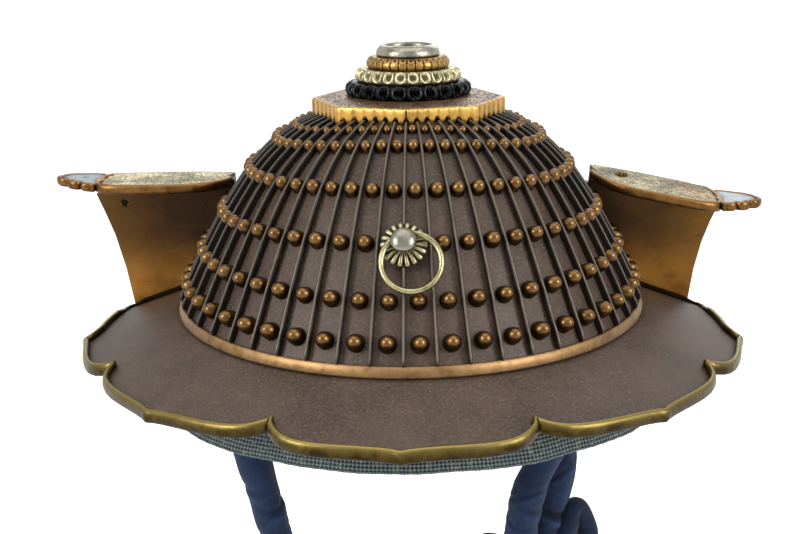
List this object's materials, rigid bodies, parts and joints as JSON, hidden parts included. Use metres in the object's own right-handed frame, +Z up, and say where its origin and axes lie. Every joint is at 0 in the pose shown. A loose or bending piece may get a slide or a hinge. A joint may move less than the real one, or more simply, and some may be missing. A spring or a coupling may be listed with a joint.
{
  "type": "samurai helmet",
  "caption": "Ribbed and riveted iron helmet bowl with tiered crown fitting, lobed neck guard, turned back ear flaps, rear ring and a padded chin cord tied in a bow",
  "frame": {"origin": "the middle of the bowl's mouth, at the height of the waist band, where a head enters", "axes": "+Z up, +Y the way the wearer faces, +X to the wearer's right"},
  "size_m": [0.3474, 0.3298, 0.3248],
  "materials": {
    "russet_iron": "russet lacquer with a fine grain, ribs worn paler along their edges",
    "gilt_copper": "gilding, rubbed and darkened in the hollows",
    "dull_gilt": "old gilding, dull and dark in the corners",
    "silvered_copper": "silvering, tarnished between the petals",
    "black_copper": "black patina with pale edges",
    "gold_lacquer": "brown gold lacquer, cloudy and chipped",
    "worn_leather": "stencilled leather, rubbed, flecked and split",
    "cord_cloth": "indigo cloth over padding, creased",
    "collar_cloth": "blue grey coarse weave with a piped hem",
    "black_iron": "plain dark iron"
  },
  "bodies": {
    "helmet": {"bowl": "russet_iron", "waist_band": "gilt_copper", "neck_guard": "russet_iron", "neck_guard_rim": "dull_gilt", "collar": "collar_cloth", "peak": "russet_iron", "peak_rim": "dull_gilt", "crown_plate": "gilt_copper", "crown_flower_black": "black_copper", "crown_flower_silver": "silvered_copper", "crown_flower_gold": "gilt_copper", "crown_ring": "silvered_copper", "rear_washer": "dull_gilt", "rear_boss": "silvered_copper", "left_flap": "gold_lacquer", "left_flap_facing": "worn_leather", "left_flap_rim": "dull_gilt", "left_ear": "silvered_copper", "left_ear_rim": "dull_gilt", "right_flap": "gold_lacquer", "right_flap_facing": "worn_leather", "right_flap_rim": "dull_gilt", "right_ear": "silvered_copper", "right_ear_rim": "dull_gilt", "right_flap_stud": "gilt_copper", "chin_cord_left": "cord_cloth", "chin_cord_right_front": "cord_cloth", "chin_cord_right_back": "cord_cloth", "chin_knot": "cord_cloth", "left_cord_anchor": "black_iron", "right_cord_anchor": "black_iron"},
    "rear_ring": {"rear_ring": "dull_gilt"}
  },
  "joints": [
    {"name": "ring_swing", "type": "hinge", "parent": "helmet", "child": "rear_ring", "pos_m": [0, -0.09954, 0.04936], "axis": [0, -0.8102, 0.5862], "range_deg": [-60, 25]}
  ]
}
